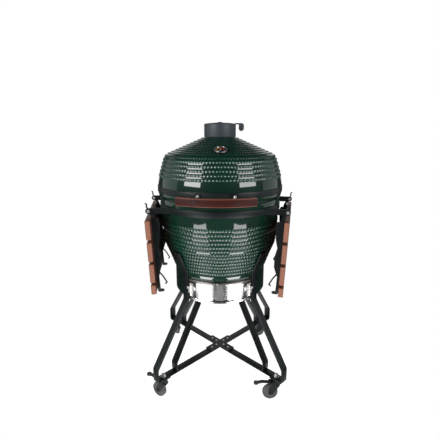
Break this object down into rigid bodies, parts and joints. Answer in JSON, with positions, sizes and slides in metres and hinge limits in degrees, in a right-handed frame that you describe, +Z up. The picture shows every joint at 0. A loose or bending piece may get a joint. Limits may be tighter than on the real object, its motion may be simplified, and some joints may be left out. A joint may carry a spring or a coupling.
{
  "type": "kamado ceramic grill",
  "caption": "Egg-shaped ceramic charcoal grill in bumpy green glaze on a four-legged steel caster stand, with hinged lid, wood handle, top vent, draft doors and folded side shelves.",
  "frame": {"origin": "on the floor, under the axis of the ceramic body", "axes": "+Z up, front (draft door, handle and thermometer) towards -Y, +X to the viewer's right"},
  "size_m": [0.7808, 0.7393, 1.3254],
  "materials": {
    "green_glaze": "deep green gloss glaze with raised bumps",
    "fire_clay": "bare refractory clay",
    "black_coat": "black powder coat, fine texture",
    "grey_cap": "slate grey satin paint on a cast cap",
    "polished_steel": "mirror polished stainless steel",
    "bright_fastener": "bright domed nuts and bolts",
    "bezel": "chrome",
    "dial_face": "black dial with coloured heat bands",
    "dial_glass": "clear",
    "needle_paint": "white",
    "felt": "woven gasket felt",
    "grate_iron": "seasoned iron",
    "handle_wood": "dark red-brown oiled wood with lighter edges",
    "slat_wood": "orange-brown oiled wood",
    "wheel_rubber": "dark grey sides, pale tread",
    "pedal_plastic": "black moulded lever"
  },
  "bodies": {
    "stand_and_base": {"base_bowl": "green_glaze", "base_gasket": "felt", "fire_box": "fire_clay", "fire_ring": "fire_clay", "charcoal_grate": "grate_iron", "cooking_grid": "grate_iron", "base_band": "black_coat", "base_band_bolts": "bright_fastener", "hinge_lower": "black_coat", "hinge_pin": "bright_fastener", "hinge_springs": "bright_fastener", "draft_frame": "polished_steel", "draft_screw": "bright_fastener", "latch_plates": "polished_steel", "leg_fl": "black_coat", "leg_fr": "black_coat", "leg_rl": "black_coat", "leg_rr": "black_coat", "leg_struts": "black_coat", "stand_ring": "black_coat", "brace_arms": "black_coat", "brace_hub": "black_coat", "stand_fasteners": "bright_fastener", "shelf_brackets": "black_coat", "shelf_pins": "bright_fastener"},
    "lid": {"lid_dome": "green_glaze", "lid_gasket": "felt", "lid_band": "black_coat", "lid_band_bolts": "bright_fastener", "hinge_upper": "black_coat", "handle_grip": "handle_wood", "handle_brackets": "black_coat", "handle_screws": "bright_fastener", "vent_base": "grey_cap", "vent_pivot": "bright_fastener", "thermo_case": "bezel", "thermo_dial": "dial_face", "thermo_lens": "dial_glass", "thermo_probe": "bright_fastener"},
    "vent_cap": {"vent_disc": "grey_cap", "vent_knob": "grey_cap"},
    "needle": {"thermo_needle": "needle_paint"},
    "door_left": {"draft_door_left": "polished_steel"},
    "door_right": {"draft_door_right": "polished_steel"},
    "latch_left": {"latch_lever_left": "polished_steel"},
    "latch_right": {"latch_lever_right": "polished_steel"},
    "shelf_left": {"shelf_arms_left": "black_coat", "shelf_slats_left": "slat_wood"},
    "shelf_right": {"shelf_arms_right": "black_coat", "shelf_slats_right": "slat_wood"},
    "fork_fl": {"caster_fork_fl": "black_coat"},
    "wheel_fl": {"caster_wheel_fl": "wheel_rubber"},
    "fork_fr": {"caster_fork_fr": "black_coat"},
    "wheel_fr": {"caster_wheel_fr": "wheel_rubber"},
    "fork_rl": {"caster_fork_rl": "black_coat"},
    "wheel_rl": {"caster_wheel_rl": "wheel_rubber"},
    "fork_rr": {"caster_fork_rr": "black_coat"},
    "wheel_rr": {"caster_wheel_rr": "wheel_rubber"},
    "pedal_fl": {"caster_pedal_fl": "pedal_plastic"},
    "pedal_fr": {"caster_pedal_fr": "pedal_plastic"}
  },
  "joints": [
    {"name": "lid_hinge", "type": "hinge", "parent": "stand_and_base", "child": "lid", "pos_m": [0.01842, 0.35152, 0.972], "axis": [-0.9986, 0.0523, 0], "range_deg": [0, 72]},
    {"name": "vent_turn", "type": "hinge", "parent": "lid", "child": "vent_cap", "pos_m": [0, 0, 1.316], "axis": [0, 0, 1], "range_deg": [0, 45]},
    {"name": "needle_turn", "type": "hinge", "parent": "lid", "child": "needle", "pos_m": [0.00226, -0.21599, 1.19563], "axis": [-0.0041, 0.3936, -0.9193], "range_deg": [0, 260]},
    {"name": "door_left_slide", "type": "hinge", "parent": "stand_and_base", "child": "door_left", "pos_m": [0, 0, 0.54], "axis": [0, 0, 1], "range_deg": [0, 26]},
    {"name": "door_right_slide", "type": "hinge", "parent": "stand_and_base", "child": "door_right", "pos_m": [0, 0, 0.54], "axis": [0, 0, -1], "range_deg": [0, 26]},
    {"name": "latch_left_swing", "type": "hinge", "parent": "stand_and_base", "child": "latch_left", "pos_m": [-0.14129, -0.19955, 0.54], "axis": [0, 0, 1], "range_deg": [0, 100]},
    {"name": "latch_right_swing", "type": "hinge", "parent": "stand_and_base", "child": "latch_right", "pos_m": [0.14129, -0.19955, 0.54], "axis": [0, 0, -1], "range_deg": [0, 100]},
    {"name": "shelf_left_fold", "type": "hinge", "parent": "stand_and_base", "child": "shelf_left", "pos_m": [-0.34311, -0.03606, 0.93], "axis": [-0.1045, 0.9945, 0], "range_deg": [0, 92.6]},
    {"name": "shelf_right_fold", "type": "hinge", "parent": "stand_and_base", "child": "shelf_right", "pos_m": [0.33746, -0.07173, 0.93], "axis": [-0.2079, -0.9781, 0], "range_deg": [0, 92.6]},
    {"name": "caster_fl_swivel", "type": "hinge", "parent": "stand_and_base", "child": "fork_fl", "pos_m": [-0.276, -0.276, 0.1], "axis": [0, 0, 1], "continuous": true},
    {"name": "wheel_fl_roll", "type": "hinge", "parent": "fork_fl", "child": "wheel_fl", "pos_m": [-0.30057, -0.25879, 0.0375], "axis": [-0.5736, -0.8192, 0], "continuous": true},
    {"name": "pedal_fl_press", "type": "hinge", "parent": "fork_fl", "child": "pedal_fl", "pos_m": [-0.30057, -0.25879, 0.085], "axis": [-0.5736, -0.8192, 0], "range_deg": [0, 8]},
    {"name": "caster_fr_swivel", "type": "hinge", "parent": "stand_and_base", "child": "fork_fr", "pos_m": [0.276, -0.276, 0.1], "axis": [0, 0, 1], "continuous": true},
    {"name": "wheel_fr_roll", "type": "hinge", "parent": "fork_fr", "child": "wheel_fr", "pos_m": [0.24607, -0.27809, 0.0375], "axis": [0.0698, -0.9976, 0], "continuous": true},
    {"name": "pedal_fr_press", "type": "hinge", "parent": "fork_fr", "child": "pedal_fr", "pos_m": [0.24607, -0.27809, 0.085], "axis": [0.0698, -0.9976, 0], "range_deg": [0, 8]},
    {"name": "caster_rl_swivel", "type": "hinge", "parent": "stand_and_base", "child": "fork_rl", "pos_m": [-0.276, 0.276, 0.1], "axis": [0, 0, 1], "continuous": true},
    {"name": "wheel_rl_roll", "type": "hinge", "parent": "fork_rl", "child": "wheel_rl", "pos_m": [-0.27705, 0.30598, 0.0375], "axis": [-0.9994, -0.0349, 0], "continuous": true},
    {"name": "caster_rr_swivel", "type": "hinge", "parent": "stand_and_base", "child": "fork_rr", "pos_m": [0.276, 0.276, 0.1], "axis": [0, 0, 1], "continuous": true},
    {"name": "wheel_rr_roll", "type": "hinge", "parent": "fork_rr", "child": "wheel_rr", "pos_m": [0.24629, 0.28018, 0.0375], "axis": [-0.1392, -0.9903, 0], "continuous": true}
  ]
}
